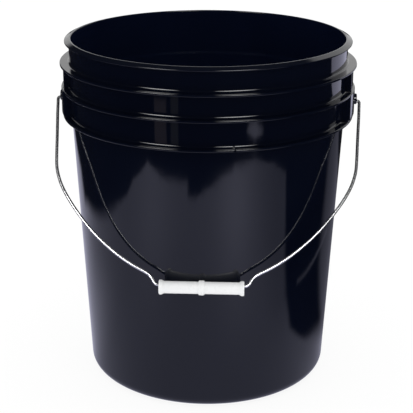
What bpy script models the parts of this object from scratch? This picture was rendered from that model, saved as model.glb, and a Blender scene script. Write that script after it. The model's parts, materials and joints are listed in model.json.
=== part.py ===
"""A 19 litre (5 US gallon) plastic pail with a swinging wire bail and a loose tube grip.

The frame: origin on the pail's axis at the plane that it stands on, +Z up, and the bail's
pivot axis along X. The bail rests against the front wall, which faces -Y. Lengths are in metres.
"""
import math

import bmesh
import bpy
from mathutils import Matrix, Vector

# Pail
HEIGHT = 0.3683
WALL = 0.0024
BASE_RADIUS = 0.1297            # where the straight outer wall would meet the ground
WALL_SLOPE = 0.0518             # gain in radius for each metre of height
BASE_ROUNDING = 0.0123
FOOT_INNER_RADIUS = 0.1085
FOOT_HEIGHT = 0.0038
FOOT_CHAMFER = 0.0025           # width of the slope between the foot ring and the recess
FLOOR_TOP = 0.0064
FLOOR_ROUNDING = 0.010
MOUTH_RADIUS = 0.1436
NECK_RADIUS = 0.1459
LIP_RADIUS = 0.1504
LIP_HEIGHT = 0.0039
LIP_ROUNDINGS = (0.0009, 0.0013, 0.0008)     # inner top, outer top and outer bottom edge
STACKING_STEP = 0.3175          # height of the small step inside the mouth
STACKING_STEP_DEPTH = 0.0008
STACKING_STEP_RISE = 0.003
NECK_DRAFTS = (0.0002, 0.0003, 0.0004, 0.0006)    # how far the neck leans in below each ring edge

# Stiffening rings: outer radius and height of the middle of the rim
RINGS = ((0.1557, 0.3424), (0.1543, 0.3168), (0.1536, 0.2879))
RING_THICKNESS = 0.0024
RING_COVE = 0.0032
RING_EDGE = 0.0008

# Ears, one at each end of the X axis
PIVOT_HEIGHT = 0.2998
LOWER_EAR_RADIUS = 0.1548
LOWER_EAR_HALF_WIDTH = 0.046
LOWER_EAR_BOTTOM = 0.2912
UPPER_EAR_RADIUS = 0.1525
UPPER_EAR_HALF_WIDTH = 0.0335
EAR_SKIN = 0.0024
EAR_ROOT = 0.0009               # how far an ear's solid reaches into the pail's wall
EAR_LAP = 0.0003                # how far stacked ear solids reach into each other
SILL_DEPTH = 0.0005             # the foot of the lower ear stands this far behind ring 3's edge
POCKET_CLEARANCE = 0.0001       # between the hollow behind an ear and the pail's wall
POCKET_MOUTH = 0.004            # the hollow starts this far under the middle of ring 3
LOWER_POCKET_EXTRA = 0.0014     # the lower hollow reaches this much further out than the upper
POCKET_CEILING = 0.001          # and ends this far under the middle of ring 2
POCKET_PASSAGE = 0.003          # the upper hollow starts this far under the middle of ring 2
BOSS_RADIUS = 0.0056
BOSS_RISE = 0.0024              # the boss sits this far above the pivot axis
BOSS_REACH = 0.1576
BOSS_OVERRUN = 0.001            # how far the hole's cutter passes the boss
WIRE_HOLE_RADIUS = 0.0021
WIRE_HOLE_LOW = 0.0002          # centres of the oval hole's round ends, above the pivot axis
WIRE_HOLE_HIGH = 0.0030
WIRE_HOLE_TAPER = 0.00005       # the upper end of the oval is this much smaller in radius
BOSS_SIDES = 24
HOLE_SIDES = 16

# Bail
WIRE_RADIUS = 0.0016
REST_ANGLE = math.radians(42.94)     # between the bail's plane and straight down
HOOK_REACH = 0.1489
HOOK_LENGTH = 0.0085
LEG_REACH = 0.1604
WIRE_BEND = 0.0024
GRIP_DROP = 0.211               # from the pivot axis to the straight middle of the wire

# Grip
GRIP_OFFSET = 0.0021            # the loose tube hangs this far beyond the wire
GRIP_LENGTH = 0.0852
GRIP_RADIUS = 0.0062
GRIP_BEAD_RADIUS = 0.0075
GRIP_BORE = 0.0041
GRIP_BORE_CHAMFER = 0.0006
GRIP_FLARE_LENGTH = 0.0030      # full-width collar at each end
GRIP_NECK_START = 0.0052        # where the collar has run down to the tube's radius
GRIP_BEAD_HALF = 0.0022         # half of the flat top of the bead in the middle
GRIP_BEAD_FOOT = 0.0034
GRIP_ROUNDINGS = (0.0008, 0.0010, 0.0006)    # collar and bead edges, necks, foot of the bead

PAIL_STEPS = 72
GRIP_STEPS = 24
LARGE_ROUNDING = 0.005          # roundings over this radius are drawn with more steps
LARGE_ARC_STEPS = 4
SMALL_ARC_STEPS = 2
WIRE_SIDES_LEVEL = 2
MERGE_DISTANCE = 0.00001
EAR_SPAN_REACH = 0.2            # half length of the box that trims the ears
EAR_SPAN_LOW = 0.25
EAR_SPAN_HIGH = 0.37


def clear_scene():
    for item in list(bpy.data.objects):
        bpy.data.objects.remove(item, do_unlink=True)


def collection(name):
    group = bpy.data.collections.new(name)
    bpy.context.scene.collection.children.link(group)
    return group


def plastic(name, colour, roughness, metallic=0.0):
    material = bpy.data.materials.new(name)
    material.use_nodes = True
    shader = material.node_tree.nodes["Principled BSDF"]
    shader.inputs["Base Color"].default_value = (*colour, 1.0)
    shader.inputs["Roughness"].default_value = roughness
    shader.inputs["Metallic"].default_value = metallic
    return material


def rounded(corners):
    """The outline through corners (x, z, rounding), with each rounding drawn as an arc."""
    points = []
    for index, (x, z, rounding) in enumerate(corners):
        here = Vector((x, z))
        if not rounding:
            points.append(here)
            continue
        before = (Vector(corners[index - 1][:2]) - here).normalized()
        after = (Vector(corners[index + 1][:2]) - here).normalized()
        half = before.angle(after) / 2
        steps = LARGE_ARC_STEPS if rounding > LARGE_ROUNDING else SMALL_ARC_STEPS
        centre = here + (before + after).normalized() * (rounding / math.sin(half))
        start = here + before * (rounding / math.tan(half)) - centre
        turn = start.angle_signed(here + after * (rounding / math.tan(half)) - centre)
        for step in range(steps + 1):
            angle = -turn * step / steps
            points.append(centre + Matrix.Rotation(angle, 2) @ start)
    return points


def mesh_object(name, mesh, group):
    item = bpy.data.objects.new(name, mesh)
    group.objects.link(item)
    return item


def turned(name, outline, steps, group, closed=False, axis="Z"):
    """A solid turned from an outline that runs down its outer side."""
    if axis == "Z":
        points = [(r, 0.0, z) for r, z in outline]
    else:
        points = [(z, 0.0, -r) for r, z in outline]
    edges = [(i, i + 1) for i in range(len(points) - 1)]
    if closed:
        edges.append((len(points) - 1, 0))
    mesh = bpy.data.meshes.new(name)
    mesh.from_pydata(points, edges, [])
    item = mesh_object(name, mesh, group)
    screw = item.modifiers.new("Turn", "SCREW")
    screw.axis = axis
    screw.steps = steps
    screw.render_steps = steps
    screw.use_merge_vertices = True
    screw.merge_threshold = MERGE_DISTANCE
    screw.use_smooth_shade = True
    return item


def block(name, low, high, group):
    """A box between two corners."""
    mesh = bpy.data.meshes.new(name)
    cage = bmesh.new()
    size = Vector(high) - Vector(low)
    middle = (Vector(high) + Vector(low)) / 2
    bmesh.ops.create_cube(cage, size=1.0, matrix=Matrix.LocRotScale(middle, None, size))
    cage.to_mesh(mesh)
    cage.free()
    return mesh_object(name, mesh, group)


def rod(name, start, end, radius, sides, group):
    """A straight round bar between two points."""
    mesh = bpy.data.meshes.new(name)
    cage = bmesh.new()
    run = Vector(end) - Vector(start)
    turn = run.to_track_quat("Z", "Y")
    place = Matrix.LocRotScale((Vector(start) + Vector(end)) / 2, turn, None)
    bmesh.ops.create_cone(cage, cap_ends=True, segments=sides, radius1=radius, radius2=radius,
                          depth=run.length, matrix=place)
    cage.to_mesh(mesh)
    cage.free()
    return mesh_object(name, mesh, group)


def boolean(item, operand, operation):
    modifier = item.modifiers.new(operand.name, "BOOLEAN")
    modifier.object = operand
    modifier.operation = operation
    modifier.solver = "EXACT"


def as_cutter(*items):
    for item in items:
        item.hide_render = True
        item.display_type = "WIRE"


def wall_radius(height):
    return BASE_RADIUS + WALL_SLOPE * height


def ring_corners(ring, above, below):
    """One ring on the outer wall, from its cove on top to the corner under it."""
    radius, middle = ring
    top = middle + RING_THICKNESS / 2
    bottom = middle - RING_THICKNESS / 2
    return [(above, top, RING_COVE), (radius, top, RING_EDGE), (radius, bottom, RING_EDGE),
            (below, bottom, 0)]


def pail_outline():
    """Half of the pail's section, from the middle of the floor round to the middle underneath."""
    step_radius = wall_radius(STACKING_STEP) - WALL - STACKING_STEP_DEPTH
    low_radius = wall_radius(FLOOR_TOP) - WALL
    lip_bottom = HEIGHT - LIP_HEIGHT
    under_rings = wall_radius(RINGS[2][1])
    inner_edge, outer_edge, lower_edge = LIP_ROUNDINGS
    corners = [(0, FLOOR_TOP, 0), (low_radius, FLOOR_TOP, FLOOR_ROUNDING),
               (step_radius, STACKING_STEP, 0), (MOUTH_RADIUS, STACKING_STEP + STACKING_STEP_RISE, 0),
               (MOUTH_RADIUS, HEIGHT, inner_edge), (LIP_RADIUS, HEIGHT, outer_edge),
               (LIP_RADIUS, lip_bottom, lower_edge), (NECK_RADIUS, lip_bottom, 0)]
    below_1, above_2, below_2, above_3 = (NECK_RADIUS - draft for draft in NECK_DRAFTS)
    corners += ring_corners(RINGS[0], NECK_RADIUS, below_1)
    corners += ring_corners(RINGS[1], above_2, below_2)
    corners += ring_corners(RINGS[2], above_3, under_rings)
    corners += [(BASE_RADIUS, 0, BASE_ROUNDING), (FOOT_INNER_RADIUS, 0, 0),
                (FOOT_INNER_RADIUS - FOOT_CHAMFER, FOOT_HEIGHT, 0), (0, FOOT_HEIGHT, 0)]
    return rounded(corners)


def ring_section(inner, outer, low, high):
    return [(outer, high), (outer, low), (inner, low), (inner, high)]


def arc_block(name, outline, half_width, group):
    """A curved slab round the pail, kept only where it is within half_width of the X axis."""
    slab = turned(name, outline, PAIL_STEPS, group, closed=True)
    slab.rotation_euler = (0, 0, math.pi / PAIL_STEPS)
    span = block(name + "_span", (-EAR_SPAN_REACH, -half_width, EAR_SPAN_LOW),
                 (EAR_SPAN_REACH, half_width, EAR_SPAN_HIGH), group)
    boolean(slab, span, "INTERSECT")
    as_cutter(slab, span)
    return slab


def mirrored_rod(name, inner, outer, height, radius, sides, group):
    """A short bar along X through each ear."""
    bar = rod(name, (inner, 0, height), (outer, 0, height), radius, sides, group)
    mirror = bar.modifiers.new("Mirror", "MIRROR")
    mirror.use_axis = (True, False, False)
    mirror.merge_threshold = MERGE_DISTANCE
    as_cutter(bar)
    return bar


def ear_solids(group):
    """The two steps of each ear and the boss that the wire passes through."""
    root = NECK_RADIUS - EAR_ROOT
    middle_ring = RINGS[1][1]
    bottom_ring = RINGS[2][1]
    sill_radius = RINGS[2][0] - SILL_DEPTH
    lower_top = middle_ring + EAR_LAP
    lower = arc_block("ear_lower", [(LOWER_EAR_RADIUS, lower_top), (LOWER_EAR_RADIUS, LOWER_EAR_BOTTOM),
                                    (sill_radius, LOWER_EAR_BOTTOM), (sill_radius, bottom_ring),
                                    (root, bottom_ring), (root, lower_top)], LOWER_EAR_HALF_WIDTH, group)
    upper = arc_block("ear_upper", ring_section(root, UPPER_EAR_RADIUS, middle_ring - EAR_LAP,
                                                RINGS[0][1] - EAR_LAP), UPPER_EAR_HALF_WIDTH, group)
    boss = mirrored_rod("ear_boss", LOWER_EAR_RADIUS - EAR_SKIN / 2, BOSS_REACH,
                        PIVOT_HEIGHT + BOSS_RISE, BOSS_RADIUS, BOSS_SIDES, group)
    return lower, upper, boss


def ear_hollows(group):
    """The spaces behind each ear, open downward, and the oval hole for the wire."""
    inside = NECK_RADIUS + POCKET_CLEARANCE
    middle_ring = RINGS[1][1]
    bottom_ring = RINGS[2][1]
    lower_outside = UPPER_EAR_RADIUS - EAR_SKIN + LOWER_POCKET_EXTRA
    lower = arc_block("pocket_lower", ring_section(inside, lower_outside, bottom_ring - POCKET_MOUTH,
                                                   middle_ring - POCKET_CEILING),
                      LOWER_EAR_HALF_WIDTH - EAR_SKIN, group)
    upper = arc_block("pocket_upper", ring_section(inside + 2 * POCKET_CLEARANCE, UPPER_EAR_RADIUS - EAR_SKIN,
                                                   middle_ring - POCKET_PASSAGE,
                                                   RINGS[0][1] - RING_THICKNESS / 2 - EAR_LAP),
                      UPPER_EAR_HALF_WIDTH - EAR_SKIN, group)
    inner = LOWER_EAR_RADIUS - 2 * EAR_SKIN
    outer = BOSS_REACH + BOSS_OVERRUN
    low = mirrored_rod("hole_low", inner, outer, PIVOT_HEIGHT + WIRE_HOLE_LOW, WIRE_HOLE_RADIUS,
                       HOLE_SIDES, group)
    high = mirrored_rod("hole_high", inner, outer, PIVOT_HEIGHT + WIRE_HOLE_HIGH,
                        WIRE_HOLE_RADIUS - WIRE_HOLE_TAPER, HOLE_SIDES, group)
    return lower, upper, low, high


def make_pail(group, cutters):
    pail = turned("pail_body", pail_outline(), PAIL_STEPS, group)
    pail.data.materials.append(plastic("black_hdpe", (0.012, 0.013, 0.018), 0.18))

    for solid in ear_solids(cutters):
        boolean(pail, solid, "UNION")
    for hollow in ear_hollows(cutters):
        boolean(pail, hollow, "DIFFERENCE")
    return pail


def bend(centre, start_angle, end_angle, radius, steps=4):
    """Points round a bend in the bail's plane."""
    points = []
    for step in range(steps + 1):
        angle = math.radians(start_angle + (end_angle - start_angle) * step / steps)
        points.append((centre[0] + radius * math.cos(angle), centre[1] + radius * math.sin(angle)))
    return points


def bail_half():
    """The wire's middle line on the +X side, as (distance from the middle, drop from the pivot)."""
    hook = [(HOOK_REACH, -HOOK_LENGTH)]
    hook += bend((HOOK_REACH + WIRE_BEND, -WIRE_BEND), 180, 90, WIRE_BEND)
    hook += bend((LEG_REACH - WIRE_BEND, WIRE_BEND), -90, 0, WIRE_BEND)
    shoulder = [(0.1596, 0.020), (0.1580, 0.045), (0.1567, 0.068), (0.1553, 0.083), (0.1518, 0.096),
                (0.1470, 0.107), (0.1395, 0.120), (0.1280, 0.1365), (0.1155, 0.152), (0.1015, 0.1662),
                (0.0860, 0.1794), (0.0710, 0.1897), (0.0575, 0.1972), (0.0530, 0.2003),
                (0.0500, 0.2040), (0.0478, 0.2078), (0.0453, 0.2101), (0.0420, GRIP_DROP)]
    return hook + shoulder


def make_bail(group):
    half = bail_half()
    route = half + [(-reach, drop) for reach, drop in reversed(half)]
    curve = bpy.data.curves.new("bail_wire", "CURVE")
    curve.dimensions = "3D"
    curve.bevel_depth = WIRE_RADIUS
    curve.bevel_resolution = WIRE_SIDES_LEVEL
    curve.use_fill_caps = True
    spline = curve.splines.new("POLY")
    spline.points.add(len(route) - 1)
    for point, (reach, drop) in zip(spline.points, route):
        point.co = (reach, 0.0, -drop, 1.0)
    spline.use_smooth = True
    bail = mesh_object("bail_wire", curve, group)
    bail.location = (0, 0, PIVOT_HEIGHT)
    bail.rotation_euler = (-REST_ANGLE, 0, 0)
    bail.data.materials.append(plastic("galvanised_wire", (0.62, 0.63, 0.64), 0.25, metallic=1.0))
    return bail


def grip_outline():
    """The grip's section as (radius, distance along it), down its outer side and back up its bore."""
    half = GRIP_LENGTH / 2
    flare = GRIP_BEAD_RADIUS
    body = GRIP_RADIUS
    collar_edge, neck_rounding, bead_foot = GRIP_ROUNDINGS
    outer = [(GRIP_BORE + GRIP_BORE_CHAMFER, half, 0), (flare, half, neck_rounding),
             (flare, half - GRIP_FLARE_LENGTH, collar_edge), (body, half - GRIP_NECK_START, neck_rounding),
             (body, GRIP_BEAD_FOOT, bead_foot), (flare, GRIP_BEAD_HALF, collar_edge)]
    mirrored = [(radius, -along, rounding) for radius, along, rounding in reversed(outer)]
    chamfer_end = half - GRIP_BORE_CHAMFER
    bore = [(GRIP_BORE, -chamfer_end, 0), (GRIP_BORE, chamfer_end, 0)]
    return rounded(outer + mirrored + bore)


def make_grip(group, bail):
    grip = turned("grip", grip_outline(), GRIP_STEPS, group, closed=True, axis="X")
    grip.data.materials.append(plastic("white_plastic", (0.86, 0.87, 0.88), 0.3))
    grip.parent = bail
    grip.location = (0, 0, -(GRIP_DROP + GRIP_OFFSET))
    return grip


def main():
    clear_scene()
    parts = collection("fermenting_bucket")
    cutters = collection("cutters")
    make_pail(parts, cutters)
    bail = make_bail(parts)
    make_grip(parts, bail)


main()
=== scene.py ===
"""The looks of a 19 litre plastic pail with a wire bail and a loose tube grip.

The frame gives the solids' places. Each solid is replaced here by a finer mesh of the same size
and gets its procedural material. Lengths are in metres, +Z up, the pail's front is -Y.
"""
import json
import math

import bmesh
import bpy
import numpy as np
from mathutils import Matrix, Vector


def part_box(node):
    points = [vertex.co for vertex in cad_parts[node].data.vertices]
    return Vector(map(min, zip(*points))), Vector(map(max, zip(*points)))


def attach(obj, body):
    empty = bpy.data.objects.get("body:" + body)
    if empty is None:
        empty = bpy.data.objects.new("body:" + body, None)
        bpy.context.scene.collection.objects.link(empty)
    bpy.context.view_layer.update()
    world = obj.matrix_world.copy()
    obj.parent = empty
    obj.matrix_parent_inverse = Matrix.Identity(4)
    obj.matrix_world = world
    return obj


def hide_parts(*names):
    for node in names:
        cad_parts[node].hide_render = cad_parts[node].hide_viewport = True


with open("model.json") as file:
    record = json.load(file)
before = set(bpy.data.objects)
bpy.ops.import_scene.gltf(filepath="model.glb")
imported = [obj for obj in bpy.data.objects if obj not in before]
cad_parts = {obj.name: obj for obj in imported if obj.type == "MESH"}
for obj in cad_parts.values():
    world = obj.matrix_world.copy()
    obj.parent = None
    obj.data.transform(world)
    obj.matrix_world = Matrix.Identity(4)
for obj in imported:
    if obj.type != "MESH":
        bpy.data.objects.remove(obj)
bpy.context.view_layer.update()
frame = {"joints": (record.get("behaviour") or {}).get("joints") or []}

GRIP_LOW, GRIP_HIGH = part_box("grip")
JOINTS = {joint["name"]: joint for joint in frame["joints"]}
PIVOT = Vector(JOINTS["bail_swing"]["pos_m"])
GRIP_MIDDLE = Vector(JOINTS["grip_spin"]["pos_m"])

# Pail section
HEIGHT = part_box("pail_body")[1].z
WALL = 0.0024
BASE_RADIUS = 0.1297
WALL_SLOPE = 0.0518
BASE_ROUNDING = 0.0123
FOOT_INNER_RADIUS = 0.1085
FOOT_CHAMFER = 0.0025
FOOT_HEIGHT = 0.0038
FLOOR_TOP = 0.0064
FLOOR_ROUNDING = 0.010
MOUTH_RADIUS = 0.1436
NECK_RADIUS = 0.1459
LIP_RADIUS = 0.1504
LIP_HEIGHT = 0.0039
LIP_FALL = (0.0052, 0.0025)         # how far in and down the lip's top slopes to its outer edge
STACKING_STEP = 0.3175
STACKING_STEP_DEPTH = 0.0008
STACKING_STEP_RISE = 0.003
STACKING_STEP_ROUNDING = 0.0015
LIP_ROUNDINGS = (0.0009, 0.0012, 0.0007, 0.0009)     # from its inner edge round to its outer bottom edge
RINGS = ((0.1557, 0.3424), (0.1543, 0.3168), (0.1536, 0.2879))
RING_HALF = 0.0012
RING_COVE = 0.0023
LOWEST_RING_COVE = 0.0019
RING_EDGE = 0.0008
NECK_DRAFTS = (0.0002, 0.0003, 0.0004, 0.0006)
ROOT_FILLET = 0.0006
FOOT_EDGE = 0.0008
GATE_RADIUS = 0.0045                # the stub of the moulding gate under the floor
GATE_DEPTH = 0.0009
GATE_TAPER = 0.0006
WITNESS_RADIUS = 0.034              # a faint moulded circle round it
WITNESS_WIDTH = 0.0012
WITNESS_DEPTH = 0.0004
MARK_ROUNDING = 0.0004

# Two small nicks in ring 3, as if from the mould: place in degrees from +X towards +Y, half width
# in radians, depth
NICKS = ((-90 + 12.1, 0.0055, 0.0056), (-90 - 17.2, 0.0040, 0.0007))
NICK_FLANK = 0.0006                 # half of the angle that a nick's side takes

# Ears
LOWER_EAR_RADIUS = 0.1548
LOWER_EAR_HALF_WIDTH = 0.046
LOWER_EAR_BOTTOM = 0.2912
LOWER_EAR_TOP = 0.3172
SILL_RADIUS = 0.1531
UPPER_EAR_RADIUS = 0.1525
UPPER_EAR_HALF_WIDTH = 0.0335
EAR_SKIN = 0.0024
EAR_EDGE = 0.0008
EAR_EDGE_COLUMNS = 4
UPPER_PLATE_COVE = 0.0008
PLATE_EDGE = 0.0005                 # lower plate, its top edge against ring 2 and its bottom edge
PLATE_ROOT = 0.0003
SILL_EDGE = 0.0004
SILL_ROOT = 0.0002
HOLLOW_INSIDE = 0.1461
LOWER_HOLLOW_OUTSIDE = 0.1515
LOWER_HOLLOW_TOP = 0.3158
UPPER_HOLLOW_OUTSIDE = 0.1501
UPPER_HOLLOW_TOP = 0.3409
PARKED_RADII = (0.1510, 0.1492, 0.1470)     # where the corners of a closed space lie, flat under ring 3
UPPER_HOLLOW_COLUMNS = 14
LOWER_HOLLOW_COLUMNS = 4
SLIVER = 0.00001                    # keeps two columns apart that would meet
BOSS_RADIUS = 0.0056
BOSS_RISE = 0.0024
BOSS_REACH = 0.1576
BOSS_EDGE = 0.0007
BOSS_DRAFT = 0.0002
WIRE_HOLE_RADIUS = 0.0021
WIRE_HOLE_LOW = 0.0002
WIRE_HOLE_HIGH = 0.0030
WIRE_HOLE_SPAN = (0.1497, 0.160)
WIRE_HOLE_SIDES = 20
REFERENCE_RADIUS = 0.150            # where a column's place along the wall is measured
PLAIN_COLUMNS = 150
FLAT_CORNERS = (9, 27)              # first and last corner of the section that an ear's flat plates take up

# Bail, the same route as its solid: points (distance from the middle, drop from the pivot), listed close to
# a curve that was fitted to the wire in the photo
WIRE_RADIUS = 0.0016
WIRE_RESOLUTION = 6
WIRE_END_TAPER = 0.8
REST_ANGLE = math.radians(42.94)
HOOK_REACH = 0.1489
HOOK_LENGTH = 0.0085
HOOK_TIP = 0.0004
LEG_REACH = 0.1604
WIRE_BEND = 0.0024
GRIP_DROP = 0.211
BAIL_ROUTE = ((0.1596, 0.020), (0.1580, 0.045), (0.1567, 0.068), (0.1553, 0.083), (0.1518, 0.096),
              (0.1470, 0.107), (0.1395, 0.120), (0.1280, 0.1365), (0.1155, 0.152), (0.1015, 0.1662),
              (0.0860, 0.1794), (0.0710, 0.1897), (0.0575, 0.1972), (0.0530, 0.2003),
              (0.0500, 0.2040), (0.0478, 0.2078), (0.0453, 0.2101), (0.0420, GRIP_DROP))
ROUTE_STEPS = 6

# Grip
GRIP_LENGTH = GRIP_HIGH.x - GRIP_LOW.x
GRIP_RADIUS = 0.0062
GRIP_BEAD_RADIUS = 0.0075
GRIP_BORE = 0.0041
GRIP_BORE_CHAMFER = 0.0006
GRIP_FLARE_LENGTH = 0.0030          # full-width collar at each end
GRIP_NECK_START = 0.0052            # where the collar has run down to the tube's radius
GRIP_BEAD_HALF = 0.0022             # half of the flat top of the bead in the middle
GRIP_BEAD_FOOT = 0.0034
GRIP_ROUNDINGS = (0.0008, 0.0010, 0.0006)   # collar and bead edges, necks, foot of the bead

# Camera: on a line that passes the pail's axis, turned towards its +X ear
CAMERA_DISTANCE = 1.2427
CAMERA_HEIGHT = 0.6231
CAMERA_PITCH = 0.344
CAMERA_SIDE = -0.0012
CAMERA_TURN = math.radians(2.3)
CAMERA_ROLL = 0.004
FOCAL_LENGTH = 104.57
SENSOR = 36.0

LARGE_ROUNDING = 0.005
ARC_STEPS_LARGE = 10
ARC_STEPS_SMALL = 4
GRIP_COLUMNS = 96
BOSS_COLUMNS = 64
MERGE_DISTANCE = 0.000004


# ---------------------------------------------------------------- mesh helpers

def new_object(name, mesh):
    item = bpy.data.objects.new(name, mesh)
    bpy.context.scene.collection.objects.link(item)
    return item


def shade(mesh, angle=40):
    mesh.shade_smooth()
    mesh.set_sharp_from_angle(angle=math.radians(angle))


def rounded(corners):
    """Points (x, z, corner number) through corners (x, z, rounding, cuts in the run that follows)."""
    points = []
    for index, (x, z, rounding, _) in enumerate(corners):
        here = Vector((x, z))
        steps = ARC_STEPS_LARGE if rounding > LARGE_ROUNDING else ARC_STEPS_SMALL
        if not 0 < index < len(corners) - 1:
            arc = [here]
        elif rounding == 0:
            arc = [here] * (steps + 1)
        else:
            before = (Vector(corners[index - 1][:2]) - here).normalized()
            after = (Vector(corners[index + 1][:2]) - here).normalized()
            half = before.angle(after) / 2
            centre = here + (before + after).normalized() * (rounding / math.sin(half))
            start = here + before * (rounding / math.tan(half)) - centre
            turn = start.angle_signed(here + after * (rounding / math.tan(half)) - centre)
            arc = [centre + Matrix.Rotation(-turn * s / steps, 2) @ start for s in range(steps + 1)]
        if points:
            cuts = corners[index - 1][3]
            last = points[-1][0]
            for cut in range(1, cuts):
                points.append((last.lerp(arc[0], cut / cuts), index - 1))
        points += [(p, index) for p in arc]
    return points


def grid_mesh(name, columns):
    """A closed surface from columns of points, each column as long as the next."""
    rows = len(columns[0])
    verts = [p for column in columns for p in column]
    faces = []
    for i in range(len(columns)):
        a = i * rows
        b = (i + 1) % len(columns) * rows
        faces += [(a + k, b + k, b + k + 1, a + k + 1) for k in range(rows - 1)]
    mesh = bpy.data.meshes.new(name)
    mesh.from_pydata(verts, [], faces)
    cage = bmesh.new()
    cage.from_mesh(mesh)
    bmesh.ops.remove_doubles(cage, verts=cage.verts, dist=MERGE_DISTANCE)
    bmesh.ops.recalc_face_normals(cage, faces=cage.faces)
    cage.to_mesh(mesh)
    cage.free()
    return mesh


def apply_modifiers(item):
    graph = bpy.context.evaluated_depsgraph_get()
    mesh = bpy.data.meshes.new_from_object(item.evaluated_get(graph))
    item.modifiers.clear()
    item.data = mesh


def weigh_normals(item):
    """Keep the large faces flat beside the small roundings."""
    weighted = item.modifiers.new("weighted", "WEIGHTED_NORMAL")
    weighted.mode = "FACE_AREA_WITH_ANGLE"
    weighted.keep_sharp = True
    apply_modifiers(item)


# ---------------------------------------------------------------- pail

def wall_radius(height):
    return BASE_RADIUS + WALL_SLOPE * height


def pail_section(lower=0.0, upper=0.0, hollow=0, notch=0.0):
    """Corners of the pail's section, from the middle of the floor round to the middle underneath.

    lower and upper are the radii of the ear's plates there, or 0; hollow says how many of the two
    spaces behind them are open there; notch is how far ring 3 is nicked.
    """
    lip_bottom = HEIGHT - LIP_HEIGHT
    r1, r2, r3 = (radius for radius, middle in RINGS)
    top1, top2, top3 = (middle + RING_HALF for radius, middle in RINGS)
    bottom1, bottom2, bottom3 = (middle - RING_HALF for radius, middle in RINGS)
    below1, above2, below2, above3 = (NECK_RADIUS - draft for draft in NECK_DRAFTS)
    under = wall_radius(RINGS[2][1])
    low_radius = wall_radius(FLOOR_TOP) - WALL
    step_radius = wall_radius(STACKING_STEP) - WALL - STACKING_STEP_DEPTH
    r3 -= notch
    plate = max(lower, below2)
    full = plate > r2
    sill = min(plate, SILL_RADIUS) if lower else above3
    neck = max(upper, below1)
    if full:
        sill_root = SILL_ROOT
    elif lower > above3 + 0.003 or notch > 0.001:
        sill_root = SILL_EDGE
    else:
        sill_root = LOWEST_RING_COVE
    lip_inner, lip_crest, lip_outer, lip_lower = LIP_ROUNDINGS
    corners = [
        (0, FLOOR_TOP, 0, 8), (low_radius, FLOOR_TOP, FLOOR_ROUNDING, 28),
        (step_radius, STACKING_STEP, STACKING_STEP_ROUNDING, 1),
        (MOUTH_RADIUS, STACKING_STEP + STACKING_STEP_RISE, STACKING_STEP_ROUNDING, 8),
        (MOUTH_RADIUS, HEIGHT, lip_inner, 2), (LIP_RADIUS - LIP_FALL[0], HEIGHT, lip_crest, 1),
        (LIP_RADIUS, HEIGHT - LIP_FALL[1], lip_outer, 1), (LIP_RADIUS, lip_bottom, lip_lower, 1),
        (NECK_RADIUS, lip_bottom, ROOT_FILLET, 5),
        (NECK_RADIUS, top1, RING_COVE, 2), (r1, top1, RING_EDGE, 1), (r1, bottom1, RING_EDGE, 2),
        (neck, bottom1, ROOT_FILLET, 8),
        (max(upper, above2), top2, UPPER_PLATE_COVE if upper > above2 + 0.001 else RING_COVE, 2),
        (r2, top2, PLATE_EDGE if full else RING_EDGE, 1),
        (r2, LOWER_EAR_TOP if full else bottom2, 0 if full else RING_EDGE, 1),
        (plate, LOWER_EAR_TOP if full else bottom2, PLATE_ROOT if full else ROOT_FILLET, 10),
        (plate if lower else above3, LOWER_EAR_BOTTOM, PLATE_EDGE if full else 0, 1),
        (sill, LOWER_EAR_BOTTOM, SILL_EDGE if full else 0, 1),
        (sill, top3, sill_root, 2),
        (r3, top3, PLATE_ROOT if full else RING_EDGE, 1), (r3, bottom3, RING_EDGE, 1)]
    corners += hollow_corners(hollow, bottom3)
    corners += [
        (under, bottom3, ROOT_FILLET, 32), (BASE_RADIUS, 0, BASE_ROUNDING, 3),
        (FOOT_INNER_RADIUS, 0, FOOT_EDGE, 2),
        (FOOT_INNER_RADIUS - FOOT_CHAMFER, FOOT_HEIGHT, FOOT_EDGE, 5),
        (WITNESS_RADIUS + WITNESS_WIDTH, FOOT_HEIGHT, 0, 1),
        (WITNESS_RADIUS + WITNESS_WIDTH / 2, FOOT_HEIGHT - WITNESS_DEPTH, MARK_ROUNDING, 1),
        (WITNESS_RADIUS, FOOT_HEIGHT, 0, 4), (GATE_RADIUS, FOOT_HEIGHT, MARK_ROUNDING, 1),
        (GATE_RADIUS - GATE_TAPER, FOOT_HEIGHT - GATE_DEPTH, MARK_ROUNDING, 2),
        (0, FOOT_HEIGHT - GATE_DEPTH, 0, 1)]
    return corners


def hollow_corners(hollow, bottom):
    """The way up behind the ear's plates and down again, or the same points laid flat under ring 3."""
    cuts = (6, 1, 6, 1, 6, 1)
    parked_low, parked_middle, parked_high = PARKED_RADII
    if hollow == 2:
        radii = (LOWER_HOLLOW_OUTSIDE, LOWER_HOLLOW_OUTSIDE, UPPER_HOLLOW_OUTSIDE, UPPER_HOLLOW_OUTSIDE,
                 HOLLOW_INSIDE, HOLLOW_INSIDE)
        levels = (bottom, LOWER_HOLLOW_TOP, LOWER_HOLLOW_TOP, UPPER_HOLLOW_TOP, UPPER_HOLLOW_TOP, bottom)
    elif hollow == 1:
        radii = (LOWER_HOLLOW_OUTSIDE, LOWER_HOLLOW_OUTSIDE, UPPER_HOLLOW_OUTSIDE, parked_middle,
                 parked_high, HOLLOW_INSIDE)
        levels = (bottom,) + (LOWER_HOLLOW_TOP,) * 4 + (bottom,)
    else:
        radii = (LOWER_HOLLOW_OUTSIDE, parked_low, UPPER_HOLLOW_OUTSIDE, parked_middle, parked_high,
                 HOLLOW_INSIDE)
        levels = (bottom,) * 6
    return [(radius, level, 0, cut) for radius, level, cut in zip(radii, levels, cuts)]


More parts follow.
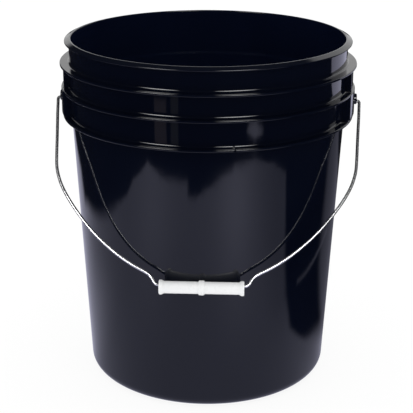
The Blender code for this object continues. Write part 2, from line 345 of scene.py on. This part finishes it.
def ear_columns():
    """Places along the wall from the ear's middle to just past its side, with the section there."""
    both = dict(lower=LOWER_EAR_RADIUS, upper=UPPER_EAR_RADIUS)
    upper_hollow = UPPER_EAR_HALF_WIDTH - EAR_SKIN
    lower_hollow = LOWER_EAR_HALF_WIDTH - EAR_SKIN
    columns = [(upper_hollow * i / UPPER_HOLLOW_COLUMNS, dict(both, hollow=2))
               for i in range(UPPER_HOLLOW_COLUMNS + 1)]
    columns.append((upper_hollow + 2 * SLIVER, dict(both, hollow=1)))
    columns += plate_edge(UPPER_EAR_HALF_WIDTH, "upper", UPPER_EAR_RADIUS,
                          NECK_RADIUS - NECK_DRAFTS[0], dict(lower=LOWER_EAR_RADIUS, hollow=1))
    start = UPPER_EAR_HALF_WIDTH + ROOT_FILLET
    single = dict(lower=LOWER_EAR_RADIUS)
    columns += [(start + (lower_hollow - start) * i / LOWER_HOLLOW_COLUMNS, dict(single, hollow=1))
                for i in range(1, LOWER_HOLLOW_COLUMNS + 1)]
    columns.append((lower_hollow + 2 * SLIVER, dict(single)))
    columns += plate_edge(LOWER_EAR_HALF_WIDTH, "lower", LOWER_EAR_RADIUS,
                          NECK_RADIUS - NECK_DRAFTS[2], {})
    return columns


def plate_edge(half_width, key, radius, neck, rest):
    """The rounded outer edge of a plate's side and the fillet at its foot."""
    columns = []
    for step in range(EAR_EDGE_COLUMNS + 1):
        turn = math.radians(90 * step / EAR_EDGE_COLUMNS)
        y = half_width - EAR_EDGE + EAR_EDGE * math.sin(turn)
        columns.append((y, dict(rest, **{key: radius - EAR_EDGE + EAR_EDGE * math.cos(turn)})))
    for step in range(EAR_EDGE_COLUMNS + 1):
        turn = math.radians(90 * step / EAR_EDGE_COLUMNS)
        y = half_width + ROOT_FILLET - ROOT_FILLET * math.cos(turn)
        level = neck + ROOT_FILLET - ROOT_FILLET * math.sin(turn)
        columns.append((y + SLIVER, dict(rest, **({key: level} if step < EAR_EDGE_COLUMNS else {}))))
    return columns


def notch_depth(angle):
    """How far ring 3 is nicked at an angle from +X towards +Y, between -pi and pi."""
    for middle, half, depth in NICKS:
        if abs(angle - math.radians(middle)) < half:
            return depth
    return 0.0


def pail_columns():
    """The pail's section, placed all round its axis: ear, plain wall, ear, plain wall."""
    ear = ear_columns()
    ear = [(-y, kinds) for y, kinds in reversed(ear[1:])] + ear
    edge = math.asin(ear[-1][0] / REFERENCE_RADIUS)
    span = math.pi - 2 * edge
    placed = []
    for side in (0, 1):
        placed += [(side, y, None, kinds) for y, kinds in ear]
        angles = [edge + span * i / PLAIN_COLUMNS for i in range(1, PLAIN_COLUMNS)]
        if side == 1:
            for middle, half, _ in NICKS:
                local = math.radians(middle) % math.pi
                angles += [local + s * (half + d) for s in (-1, 1) for d in (-NICK_FLANK, NICK_FLANK)]
        for angle in sorted(angles):
            world = angle + side * math.pi
            turned = world - 2 * math.pi if side else world
            placed.append((side, None, world, dict(notch=notch_depth(turned))))
    columns = []
    for side, y, angle, kinds in placed:
        column = []
        for point, corner in rounded(pail_section(**kinds)):
            r, z = point
            if y is None:
                place = (r * math.cos(angle), r * math.sin(angle), z)
            elif FLAT_CORNERS[0] <= corner <= FLAT_CORNERS[1]:
                x = math.sqrt(r * r - y * y)
                place = (x, y, z) if side == 0 else (-x, -y, z)
            else:
                theta = math.asin(y / REFERENCE_RADIUS) + side * math.pi
                place = (r * math.cos(theta), r * math.sin(theta), z)
            column.append(place)
        columns.append(column)
    return columns


def turned_pair(name, outline, start_x, height):
    """A solid turned about a line along X, from (radius, distance along X), and its twin at -X."""
    rings = []
    for i in range(BOSS_COLUMNS):
        a = math.tau * i / BOSS_COLUMNS
        rings.append([(start_x + along, radius * math.cos(a), height + radius * math.sin(a))
                      for radius, along in outline])
    mesh = grid_mesh(name, rings)
    cage = bmesh.new()
    cage.from_mesh(mesh)
    copy = bmesh.ops.duplicate(cage, geom=cage.verts[:] + cage.edges[:] + cage.faces[:])
    bmesh.ops.rotate(cage, verts=[v for v in copy["geom"] if isinstance(v, bmesh.types.BMVert)],
                     cent=(0, 0, 0), matrix=Matrix.Rotation(math.pi, 3, "Z"))
    cage.to_mesh(mesh)
    cage.free()
    return new_object(name, mesh)


def boss_solid():
    """The round bosses that the wire goes in under, one on each ear."""
    inner = LOWER_EAR_RADIUS - EAR_SKIN / 2
    run = BOSS_REACH - inner
    corners = [(0, run, 0, 4), (BOSS_RADIUS, run, BOSS_EDGE, 4),
               (BOSS_RADIUS + BOSS_DRAFT, 0, 0, 3), (0, 0, 0, 1)]
    outline = [tuple(p) for p, corner in rounded(corners)]
    return turned_pair("boss_solid", outline, inner, PIVOT.z + BOSS_RISE)


def hole_solid():
    """An oval bar through both ears."""
    cage = bmesh.new()
    outline = []
    for start, level in ((0, WIRE_HOLE_HIGH), (math.pi, WIRE_HOLE_LOW)):
        for i in range(WIRE_HOLE_SIDES + 1):
            a = start + math.pi * i / WIRE_HOLE_SIDES
            outline.append((WIRE_HOLE_RADIUS * math.cos(a), level + WIRE_HOLE_RADIUS * math.sin(a)))
    near, far = WIRE_HOLE_SPAN
    for low, high in ((near, far), (-far, -near)):
        ring = [cage.verts.new((low, y, PIVOT.z + z)) for y, z in outline]
        face = cage.faces.new(ring)
        made = bmesh.ops.extrude_face_region(cage, geom=[face])
        moved = [v for v in made["geom"] if isinstance(v, bmesh.types.BMVert)]
        bmesh.ops.translate(cage, verts=moved, vec=(high - low, 0, 0))
    bmesh.ops.recalc_face_normals(cage, faces=cage.faces)
    mesh = bpy.data.meshes.new("hole_solid")
    cage.to_mesh(mesh)
    cage.free()
    return new_object("hole_solid", mesh)


def make_pail():
    pail = new_object("pail_shell", grid_mesh("pail_shell", pail_columns()))
    tools = (boss_solid(), "UNION"), (hole_solid(), "DIFFERENCE")
    for tool, operation in tools:
        cut = pail.modifiers.new(tool.name, "BOOLEAN")
        cut.object = tool
        cut.operation = operation
        cut.solver = "EXACT"
    apply_modifiers(pail)
    for tool, operation in tools:
        bpy.data.objects.remove(tool)
    shade(pail.data, 35)
    weigh_normals(pail)
    return pail


# ---------------------------------------------------------------- bail and grip

def bend(centre, start_angle, end_angle, radius, steps=8):
    """Points round a bend in the bail's plane."""
    points = []
    for step in range(steps + 1):
        angle = math.radians(start_angle + (end_angle - start_angle) * step / steps)
        points.append((centre[0] + radius * math.cos(angle), centre[1] + radius * math.sin(angle)))
    return points


def smooth_route(points, steps):
    """Extra points on a smooth curve through the given ones."""
    made = []
    for i in range(len(points) - 1):
        p0 = Vector(points[max(i - 1, 0)])
        p1 = Vector(points[i])
        p2 = Vector(points[i + 1])
        p3 = Vector(points[min(i + 2, len(points) - 1)])
        for step in range(steps):
            t = step / steps
            made.append(0.5 * (2 * p1 + (p2 - p0) * t + (2 * p0 - 5 * p1 + 4 * p2 - p3) * t * t
                               + (3 * p1 - p0 - 3 * p2 + p3) * t * t * t))
    made.append(Vector(points[-1]))
    return made


def make_bail():
    hook = [(HOOK_REACH, -HOOK_LENGTH), (HOOK_REACH, -HOOK_LENGTH + HOOK_TIP)]
    hook += bend((HOOK_REACH + WIRE_BEND, -WIRE_BEND), 180, 90, WIRE_BEND)
    hook += bend((LEG_REACH - WIRE_BEND, WIRE_BEND), -90, 0, WIRE_BEND)
    half = [Vector(p) for p in hook] + smooth_route(BAIL_ROUTE, ROUTE_STEPS)
    route = half + [Vector((-p.x, p.y)) for p in reversed(half)]
    curve = bpy.data.curves.new("bail", "CURVE")
    curve.dimensions = "3D"
    curve.bevel_depth = WIRE_RADIUS
    curve.bevel_resolution = WIRE_RESOLUTION
    curve.use_fill_caps = True
    spline = curve.splines.new("POLY")
    spline.points.add(len(route) - 1)
    for point, (reach, drop) in zip(spline.points, route):
        point.co = (reach, 0.0, -drop, 1.0)
    spline.points[0].radius = WIRE_END_TAPER
    spline.points[-1].radius = WIRE_END_TAPER
    spline.use_smooth = True
    drawn = new_object("bail_curve", curve)
    drawn.location = PIVOT
    drawn.rotation_euler = (-REST_ANGLE, 0, 0)
    bpy.context.view_layer.update()
    graph = bpy.context.evaluated_depsgraph_get()
    mesh = bpy.data.meshes.new_from_object(drawn.evaluated_get(graph))
    cage = bmesh.new()
    cage.from_mesh(mesh)
    bmesh.ops.remove_doubles(cage, verts=cage.verts, dist=MERGE_DISTANCE)
    bmesh.ops.recalc_face_normals(cage, faces=cage.faces)
    cage.to_mesh(mesh)
    cage.free()
    shade(mesh, 50)
    bail = new_object("bail_handle", mesh)
    bail.matrix_world = drawn.matrix_world.copy()
    bpy.data.objects.remove(drawn)
    return bail


def make_grip():
    half = GRIP_LENGTH / 2
    flare, body = GRIP_BEAD_RADIUS, GRIP_RADIUS
    collar_edge, neck_rounding, bead_foot = GRIP_ROUNDINGS
    outer = [(GRIP_BORE + GRIP_BORE_CHAMFER, half, 0, 2), (flare, half, neck_rounding, 2),
             (flare, half - GRIP_FLARE_LENGTH, collar_edge, 1),
             (body, half - GRIP_NECK_START, neck_rounding, 14),
             (body, GRIP_BEAD_FOOT, bead_foot, 1), (flare, GRIP_BEAD_HALF, collar_edge, 2)]
    inner = [(GRIP_BORE, -half + GRIP_BORE_CHAMFER, 0, 16), (GRIP_BORE, half - GRIP_BORE_CHAMFER, 0, 1)]
    sections = outer + [(r, -x, rounding, outer[max(len(outer) - 2 - i, 0)][3])
                        for i, (r, x, rounding, cuts) in enumerate(reversed(outer))] + inner
    sections.append(outer[0])
    outline = [tuple(p) for p, corner in rounded(sections)]
    rings = []
    for i in range(GRIP_COLUMNS):
        a = math.tau * i / GRIP_COLUMNS
        rings.append([(x, r * math.cos(a), r * math.sin(a)) for r, x in outline])
    grip = new_object("grip_tube", grid_mesh("grip_tube", rings))
    grip.location = GRIP_MIDDLE
    grip.rotation_euler = (-REST_ANGLE, 0, 0)
    shade(grip.data, 40)
    return grip


# ---------------------------------------------------------------- materials

BLACK_TONES = ((0.0013, 0.0022, 0.0066, 1), (0.0019, 0.0030, 0.0080, 1))
# Painted light: lighter, bluer tones for the inside wall than the outside, for the dim light seen inside
# the pail
PAINTED_INNER_LIGHT_TONES = ((0.0016, 0.0030, 0.0105, 1), (0.0036, 0.0064, 0.0185, 1))
ZINC_TONES = ((0.80, 0.80, 0.82, 1), (0.93, 0.93, 0.94, 1))
ZINC_STAIN = (0.55, 0.55, 0.56, 1)
# Painted shade for the wire's rims, where it turns away from the view
ZINC_PAINTED_RIM_SHADE = (0.10, 0.095, 0.12, 1)
WHITE_TONES = ((0.90, 0.91, 0.915, 1), (0.94, 0.945, 0.95, 1))


class Nodes:
    """A short way to write a node tree."""

    def __init__(self, material):
        material.use_nodes = True
        self.tree = material.node_tree
        self.shader = self.tree.nodes["Principled BSDF"]

    def add(self, kind, settings=(), **inputs):
        node = self.tree.nodes.new(kind)
        for name, value in dict(settings).items():
            setattr(node, name, value)
        for name, value in inputs.items():
            self.put(node, name.replace("_", " "), value)
        return node

    def put(self, node, name, value):
        if isinstance(value, bpy.types.NodeSocket):
            self.tree.links.new(value, node.inputs[name])
        else:
            node.inputs[name].default_value = value

    def scaled(self, scale, offset=(0, 0, 0)):
        """Object coordinates, stretched by scale along each axis."""
        place = self.add("ShaderNodeTexCoord").outputs["Object"]
        mapping = self.add("ShaderNodeMapping", Scale=scale, Location=offset)
        self.tree.links.new(place, mapping.inputs["Vector"])
        return mapping.outputs["Vector"]

    def noise(self, scale, detail=4.0, stretch=(1, 1, 1), roughness=0.55, offset=(0, 0, 0)):
        node = self.add("ShaderNodeTexNoise", Scale=scale, Detail=detail, Roughness=roughness)
        self.tree.links.new(self.scaled(stretch, offset), node.inputs["Vector"])
        return node.outputs["Fac"]

    def depth_in_wall(self):
        """How far a place is outside the pail's outer wall, less than 0 inside it."""
        place = self.add("ShaderNodeSeparateXYZ")
        self.tree.links.new(self.add("ShaderNodeTexCoord").outputs["Object"], place.inputs[0])
        x, y, z = (place.outputs[axis] for axis in "XYZ")
        squares = self.math("ADD", self.math("MULTIPLY", x, x), self.math("MULTIPLY", y, y))
        radius = self.math("POWER", squares, 0.5)
        slope = self.math("ADD", self.math("MULTIPLY", z, WALL_SLOPE), BASE_RADIUS)
        wall = self.math("MINIMUM", slope, NECK_RADIUS)
        return self.math("SUBTRACT", radius, wall)

    def ramp(self, value, low, high, low_value, high_value):
        node = self.add("ShaderNodeMapRange")
        self.tree.links.new(value, node.inputs["Value"])
        for name, number in (("From Min", low), ("From Max", high),
                             ("To Min", low_value), ("To Max", high_value)):
            node.inputs[name].default_value = number
        return node.outputs["Result"]

    def mix(self, share, first, second):
        node = self.add("ShaderNodeMix", {"data_type": "RGBA"})
        for index, value in ((0, share), (6, first), (7, second)):
            if isinstance(value, bpy.types.NodeSocket):
                self.tree.links.new(value, node.inputs[index])
            else:
                node.inputs[index].default_value = value
        return node.outputs[2]

    def math(self, operation, first, second):
        node = self.add("ShaderNodeMath", {"operation": operation})
        for index, value in ((0, first), (1, second)):
            if isinstance(value, bpy.types.NodeSocket):
                self.tree.links.new(value, node.inputs[index])
            else:
                node.inputs[index].default_value = value
        return node.outputs[0]

    def bump(self, height, distance, strength=1.0, normal=None):
        node = self.add("ShaderNodeBump", Strength=strength, Distance=distance)
        self.tree.links.new(height, node.inputs["Height"])
        if normal is not None:
            self.tree.links.new(normal, node.inputs["Normal"])
        return node.outputs["Normal"]


def black_plastic():
    material = bpy.data.materials.new("black_plastic_gloss")
    n = Nodes(material)
    clouds = n.noise(9.0, detail=3.0)
    fine = n.noise(160.0, detail=2.0)
    colour = n.mix(n.ramp(clouds, 0.35, 0.7, 0.0, 1.0), *BLACK_TONES)
    # Painted light: inside the wall the colour turns to the lighter, bluer tones, in uneven clouds
    inner = n.ramp(n.depth_in_wall(), -0.0016, -0.0008, 1.0, 0.0)
    painted_light_clouds = n.noise(6.0, detail=4.0, stretch=(1, 1, 0.5), offset=(5, 2, 1))
    painted_inner_light = n.mix(n.ramp(painted_light_clouds, 0.35, 0.68, 0.0, 1.0), *PAINTED_INNER_LIGHT_TONES)
    colour = n.mix(inner, colour, painted_inner_light)
    n.put(n.shader, "Base Color", colour)
    smear = n.noise(26.0, detail=5.0, stretch=(1, 1, 0.35), offset=(3, 1, 0))
    scuff = n.noise(420.0, detail=3.0, stretch=(1, 1, 0.12), offset=(0, 7, 0))
    rough = n.math("ADD", n.ramp(smear, 0.4, 0.75, 0.050, 0.085), n.ramp(scuff, 0.62, 0.8, 0.0, 0.08))
    n.put(n.shader, "Roughness", rough)
    n.put(n.shader, "IOR", 1.5)
    peel = n.bump(n.noise(34.0, detail=2.0, stretch=(1, 1, 0.6)), 0.00012)
    grain = n.bump(fine, 0.000006, normal=peel)
    n.put(n.shader, "Normal", grain)
    return material


def galvanised_wire():
    material = bpy.data.materials.new("galvanised_wire_bright")
    n = Nodes(material)
    spangle = n.noise(700.0, detail=3.0)
    stain = n.noise(60.0, detail=4.0)
    colour = n.mix(n.ramp(spangle, 0.35, 0.65, 0.0, 1.0), *ZINC_TONES)
    colour = n.mix(n.ramp(stain, 0.58, 0.8, 0.0, 0.35), colour, ZINC_STAIN)
    # Painted shade: the wire's colour darkens towards its rims as they turn away from the view
    edge = n.add("ShaderNodeLayerWeight", Blend=0.5).outputs["Facing"]
    colour = n.mix(n.ramp(edge, 0.35, 0.85, 0.0, 1.0), colour, ZINC_PAINTED_RIM_SHADE)
    n.put(n.shader, "Base Color", colour)
    n.shader.inputs["Metallic"].default_value = 1.0
    n.put(n.shader, "Roughness", n.ramp(spangle, 0.3, 0.7, 0.20, 0.32))
    drawn = n.noise(900.0, detail=2.0, stretch=(0.25, 1, 1))
    n.put(n.shader, "Normal", n.bump(drawn, 0.00003))
    return material


def white_plastic():
    material = bpy.data.materials.new("white_plastic_moulded")
    n = Nodes(material)
    tone = n.noise(45.0, detail=3.0)
    colour = n.mix(n.ramp(tone, 0.35, 0.7, 0.0, 1.0), *WHITE_TONES)
    n.put(n.shader, "Base Color", colour)
    n.put(n.shader, "Roughness", n.ramp(n.noise(120.0, detail=3.0), 0.35, 0.7, 0.24, 0.36))
    n.shader.inputs["Subsurface Weight"].default_value = 0.15
    n.shader.inputs["Subsurface Radius"].default_value = (0.002, 0.002, 0.002)
    n.shader.inputs["Subsurface Scale"].default_value = 0.5
    n.put(n.shader, "Normal", n.bump(n.noise(260.0, detail=2.0), 0.00002))
    return material


# ---------------------------------------------------------------- stage

def emission(name, colour, strength, attribute=None):
    material = bpy.data.materials.new(name)
    material.use_nodes = True
    tree = material.node_tree
    tree.nodes.clear()
    glow = tree.nodes.new("ShaderNodeEmission")
    glow.inputs["Color"].default_value = (*colour, 1)
    glow.inputs["Strength"].default_value = strength
    if attribute:
        source = tree.nodes.new("ShaderNodeAttribute")
        source.attribute_name = attribute
        tree.links.new(source.outputs["Color"], glow.inputs["Color"])
    out = tree.nodes.new("ShaderNodeOutputMaterial")
    tree.links.new(glow.outputs["Emission"], out.inputs["Surface"])
    return material


def only_in_reflections(item):
    item.visible_camera = False
    item.visible_diffuse = False
    item.visible_shadow = False
    item.visible_transmission = False
    item.visible_volume_scatter = False


def smooth(edge_low, edge_high, value):
    t = np.clip((value - edge_low) / (edge_high - edge_low), 0.0, 1.0)
    return t * t * (3 - 2 * t)


def inside(x, y, corners, soft):
    """1 well inside the polygon, 0 well outside, with a soft edge."""
    distance = np.full(x.shape, 1e9)
    crossed = np.zeros(x.shape, dtype=bool)
    for i, (ax, ay) in enumerate(corners):
        bx, by = corners[(i + 1) % len(corners)]
        dx, dy = bx - ax, by - ay
        t = np.clip(((x - ax) * dx + (y - ay) * dy) / (dx * dx + dy * dy), 0.0, 1.0)
        distance = np.minimum(distance, np.hypot(x - ax - t * dx, y - ay - t * dy))
        if dy:
            crossed ^= ((ay > y) != (by > y)) & (x < ax + (y - ay) * dx / dy)
    return smooth(-soft, soft, np.where(crossed, distance, -distance))


# Painted reflections: a glowing floor that only reflections see, with the studio painted on it as the pail
# mirrors it, in metres round the pail: a white table with painted pools of light, a dark flag's painted
# shadow on its right, a dim side beyond it, a white sheet at the back, a light stand's foot, and a cable.
# These outlines were traced from the reflections in the photo, through the fitted camera, and then cut down
# to the points that they need.
TABLE = ((-0.52, 0.19), (-0.59, -0.15), (-0.59, -0.25), (-0.61, -0.35), (-0.57, -0.53), (-0.39, -0.60),
         (-0.30, -0.64), (-0.18, -0.68), (-0.17, -0.63), (-0.10, -0.64), (-0.04, -0.67), (0.14, -0.71),
         (0.28, -0.71), (0.46, -0.64), (0.60, -0.49), (0.66, -0.33), (0.30, -0.15), (0.17, 0.05),
         (-0.15, 0.60), (-0.30, 1.00), (-0.48, 0.83), (-0.52, 0.50), (-0.46, 0.36), (-0.50, 0.29))
SHADE = ((0.72, -0.32), (0.60, -0.28), (0.29, -0.14), (0.23, -0.11), (0.20, -0.04), (0.20, 0.12),
         (0.46, 0.50), (0.90, 0.50))
SIDE = ((0.10, 0.05), (0.22, 0.06), (0.36, 0.10), (0.70, 0.36), (0.85, 0.60), (0.80, 0.74), (0.10, 0.50))
SHEET = ((0.62, 0.95), (0.78, 0.69), (0.92, 0.72), (1.20, 0.62), (1.32, 0.62), (1.80, 0.80),
         (2.10, 1.20), (1.30, 2.10), (0.80, 1.90), (0.70, 1.25))
FOOT = ((0.56, -1.00), (0.63, -1.01), (0.72, -0.98), (0.78, -0.84), (0.64, -0.88))
CABLE_CENTRE = (-0.22, 0.18)        # the cable lies on an arc round this place
CABLE_RADIUS = 0.63
CABLE_SPAN = (-0.09, 0.26)          # from and to, along Y
CABLE_HALF = 0.005
UNLIT = 0.010
FLOOR_BLUE = 1.28                    # the studio's light on the floor is a little blue
FLOOR_REACH = 2.2
FLOOR_STEPS = 550


def on_cable(x, y):
    """1 on the cable's arc at the right of the pail, 0 beside it."""
    beside = np.abs(np.hypot(x - CABLE_CENTRE[0], y - CABLE_CENTRE[1]) - CABLE_RADIUS)
    depth = np.minimum(CABLE_HALF - beside, np.minimum(y - CABLE_SPAN[0], CABLE_SPAN[1] - y))
    return np.where(x > 0, smooth(-CABLE_HALF, CABLE_HALF, depth), 0.0)


def floor_radiance(x, y):
    """How bright the painted reflection floor is at each place: painted pools of light and painted shade on
    a table, and painted reflections of the studio round it.
    """
    distance = np.hypot(x, y)
    azimuth = np.degrees(np.arctan2(x, -y))
    # Painted pools of light on the table from the two softboxes
    painted_light_pools = (0.24 * np.exp(-((azimuth + 42) / 17) ** 2) + 0.38 * np.exp(-((azimuth - 22) / 15) ** 2)
             + 0.08 * np.exp(-(azimuth / 25) ** 2))
    table = 0.44 + painted_light_pools * smooth(0.15, 0.65, distance)
    # Painted shade on the table towards its right, and painted light on its far left
    table -= 0.12 * smooth(38, 60, azimuth) * smooth(0.2, 0.35, distance)
    table -= 0.09 * smooth(60, 85, azimuth)
    left = 1 - smooth(-100, -70, azimuth)
    table += 0.13 * left - 0.13 * left * smooth(0.25, 0.45, distance) * smooth(-130, -100, azimuth)
    level = np.full(x.shape, UNLIT)
    level += (0.14 - level) * inside(x, y, SIDE, 0.05)
    level += (table - level) * inside(x, y, TABLE, 0.010 + 0.03 * smooth(-0.3, 0.0, y))
    near = smooth(0.16, 0.23, distance)
    # Painted shade: the flag's shadow on the table, a little lighter close to the pail
    level += (0.30 * (1 - near) * smooth(120, 80, azimuth) + 0.005 - level) * inside(x, y, SHADE, 0.010)
    level += (0.14 - level) * inside(x, y, SIDE, 0.05) * smooth(100, 112, azimuth)
    level += (0.24 - level) * on_cable(x, y)
    level += (0.75 - level) * inside(x, y, SHEET, 0.012)
    level += (0.80 - level) * inside(x, y, FOOT, 0.012)
    return level


def painted_reflection_floor():
    """A glowing floor with the studio's reflections painted on it, seen only by glossy surfaces."""
    mesh = bpy.data.meshes.new("painted_reflection_floor")
    cage = bmesh.new()
    bmesh.ops.create_grid(cage, x_segments=FLOOR_STEPS, y_segments=FLOOR_STEPS, size=FLOOR_REACH,
                          matrix=Matrix.Translation((0, 0, -0.0005)))
    cage.to_mesh(mesh)
    cage.free()
    places = np.empty(len(mesh.vertices) * 3)
    mesh.vertices.foreach_get("co", places)
    x, y = places[0::3], places[1::3]
    level = floor_radiance(x, y)
    colours = np.stack([level, level, level * FLOOR_BLUE, np.ones_like(level)], axis=1)
    layer = mesh.attributes.new("radiance", "FLOAT_COLOR", "POINT")
    layer.data.foreach_set("color", colours.ravel())
    item = new_object("painted_reflection_floor", mesh)
    item.data.materials.append(emission("painted_reflection_floor", (1, 1, 1), 1.0, "radiance"))
    item.rotation_euler = (0, 0, CAMERA_TURN)
    only_in_reflections(item)


def card(name, azimuth, distance, low, high, width, radiance, colour, fade):
    """An upright card that faces the pail, seen only in reflections; fade darkens its two sides."""
    mesh = bpy.data.meshes.new(name)
    cage = bmesh.new()
    bmesh.ops.create_grid(cage, x_segments=32, y_segments=1, size=0.5)
    layer = cage.verts.layers.float_color.new("radiance")
    for vert in cage.verts:
        level = 1 - fade * abs(2 * vert.co.x) ** 2
        vert[layer] = tuple(channel * level for channel in colour) + (1,)
    cage.to_mesh(mesh)
    cage.free()
    item = new_object(name, mesh)
    a = math.radians(azimuth) + CAMERA_TURN
    item.location = (distance * math.sin(a), -distance * math.cos(a), (low + high) / 2)
    item.rotation_euler = (math.pi / 2, 0, a)
    item.scale = (width, high - low, 1)
    item.data.materials.append(emission(name, colour, radiance, "radiance"))
    only_in_reflections(item)


def floor():
    mesh = bpy.data.meshes.new("floor")
    cage = bmesh.new()
    bmesh.ops.create_grid(cage, x_segments=1, y_segments=1, size=30.0)
    cage.to_mesh(mesh)
    cage.free()
    item = new_object("floor", mesh)
    material = bpy.data.materials.new("pale_floor")
    material.use_nodes = True
    shader = material.node_tree.nodes["Principled BSDF"]
    shader.inputs["Base Color"].default_value = (0.12, 0.12, 0.12, 1)
    shader.inputs["Roughness"].default_value = 1.0
    shader.inputs["Specular IOR Level"].default_value = 0.0
    shader.inputs["Emission Color"].default_value = (1, 1, 1, 1)
    shader.inputs["Emission Strength"].default_value = 0.90
    item.data.materials.append(material)
    item.location.z = -0.001
    item.visible_glossy = False


BACKDROP_AZIMUTH = 161.0            # the backdrop's middle, from the camera's side round to the right
BACKDROP_EDGE = 0.74                # cosine of half its width
BACKDROP_BLUR = 0.03
WORLD_FOR_CAMERA = 1.25


def studio_world():
    """White all round for the camera; in reflections white behind the pail and dim in front."""
    world = bpy.data.worlds.new("studio")
    bpy.context.scene.world = world
    world.use_nodes = True
    tree = world.node_tree
    tree.nodes.clear()
    add = tree.nodes.new
    link = tree.links.new
    place = add("ShaderNodeTexCoord")
    turn = add("ShaderNodeMapping")
    turn.vector_type = "POINT"
    turn.inputs["Rotation"].default_value = (0, 0, -CAMERA_TURN)
    link(place.outputs["Generated"], turn.inputs["Vector"])
    split = add("ShaderNodeSeparateXYZ")
    link(turn.outputs["Vector"], split.inputs["Vector"])

    def ramp(socket, low, high, start, end):
        node = add("ShaderNodeMapRange")
        node.interpolation_type = "SMOOTHSTEP"
        link(socket, node.inputs["Value"])
        for name, number in (("From Min", low), ("From Max", high),
                             ("To Min", start), ("To Max", end)):
            node.inputs[name].default_value = number
        return node.outputs["Result"]

    def combine(operation, first, second):
        node = add("ShaderNodeMath")
        node.operation = operation
        for index, value in enumerate((first, second)):
            if isinstance(value, bpy.types.NodeSocket):
                link(value, node.inputs[index])
            else:
                node.inputs[index].default_value = value
        return node.outputs[0]

    axis = add("ShaderNodeVectorMath")
    axis.operation = "DOT_PRODUCT"
    link(turn.outputs["Vector"], axis.inputs[0])
    a = math.radians(BACKDROP_AZIMUTH)
    axis.inputs[1].default_value = (math.sin(a), -math.cos(a), 0)
    back = ramp(axis.outputs["Value"], BACKDROP_EDGE - BACKDROP_BLUR,
                BACKDROP_EDGE + BACKDROP_BLUR, 0.0, 1.0)
    level = ramp(split.outputs["Z"], -0.07, 0.03, 0.03, 1.05)
    overhead = ramp(split.outputs["Z"], 0.55, 0.85, 0.02, 0.05)
    front = combine("MULTIPLY", combine("SUBTRACT", 1.0, back), overhead)
    mirrored = combine("ADD", combine("MULTIPLY", back, level), front)
    seen = add("ShaderNodeLightPath")
    mixed = add("ShaderNodeMix")
    mixed.data_type = "FLOAT"
    link(seen.outputs["Is Glossy Ray"], mixed.inputs[0])
    mixed.inputs[2].default_value = WORLD_FOR_CAMERA
    link(mirrored, mixed.inputs[3])
    background = add("ShaderNodeBackground")
    link(mixed.outputs[0], background.inputs["Strength"])
    out = add("ShaderNodeOutputWorld")
    link(background.outputs["Background"], out.inputs["Surface"])


def camera():
    data = bpy.data.cameras.new("camera")
    data.lens = FOCAL_LENGTH
    data.sensor_width = SENSOR
    data.clip_end = 100
    item = bpy.data.objects.new("camera", data)
    bpy.context.scene.collection.objects.link(item)
    turn = Matrix.Rotation(CAMERA_TURN, 4, "Z")
    item.matrix_world = (turn @ Matrix.Translation((CAMERA_SIDE, -CAMERA_DISTANCE, CAMERA_HEIGHT))
                         @ Matrix.Rotation(math.pi / 2 - CAMERA_PITCH, 4, "X")
                         @ Matrix.Rotation(CAMERA_ROLL, 4, "Z"))
    bpy.context.scene.camera = item


# What stands round the pail in its reflections: name, azimuth in degrees from the camera's side
# towards +X, distance, bottom, top, width, radiance, colour, and how far the sides fade
CARDS = (("softbox_left", -40.5, 2.0, 0.9, 2.1, 1.2, 11.0, (1, 1, 1), 1.0),
         ("softbox_right", 23, 2.0, 0.9, 2.1, 1.3, 11.0, (1, 1, 1), 1.0),
         # The two light stands are painted reflections: dim glowing cards, though a stand is no lamp
         ("light_stand", -36, 0.95, -0.02, 0.115, 0.16, 0.20, (1.0, 0.85, 0.9), 0.0),
         ("light_stand_far", -25, 0.98, -0.02, 0.12, 0.10, 0.12, (1, 1, 1), 0.0))


def main():
    bpy.context.scene.view_settings.view_transform = "Standard"
    camera()
    studio_world()
    floor()
    painted_reflection_floor()
    for standing in CARDS:
        card(*standing)

    for piece, material, body, node, slot in (
            (make_pail(), black_plastic(), "pail", "pail_body", "black_plastic"),
            (make_bail(), galvanised_wire(), "bail", "bail_wire", "galvanised_wire"),
            (make_grip(), white_plastic(), "grip", "grip", "white_plastic")):
        piece.data.materials.clear()
        piece.data.materials.append(material)
        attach(piece, body)
        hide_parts(node)


main()
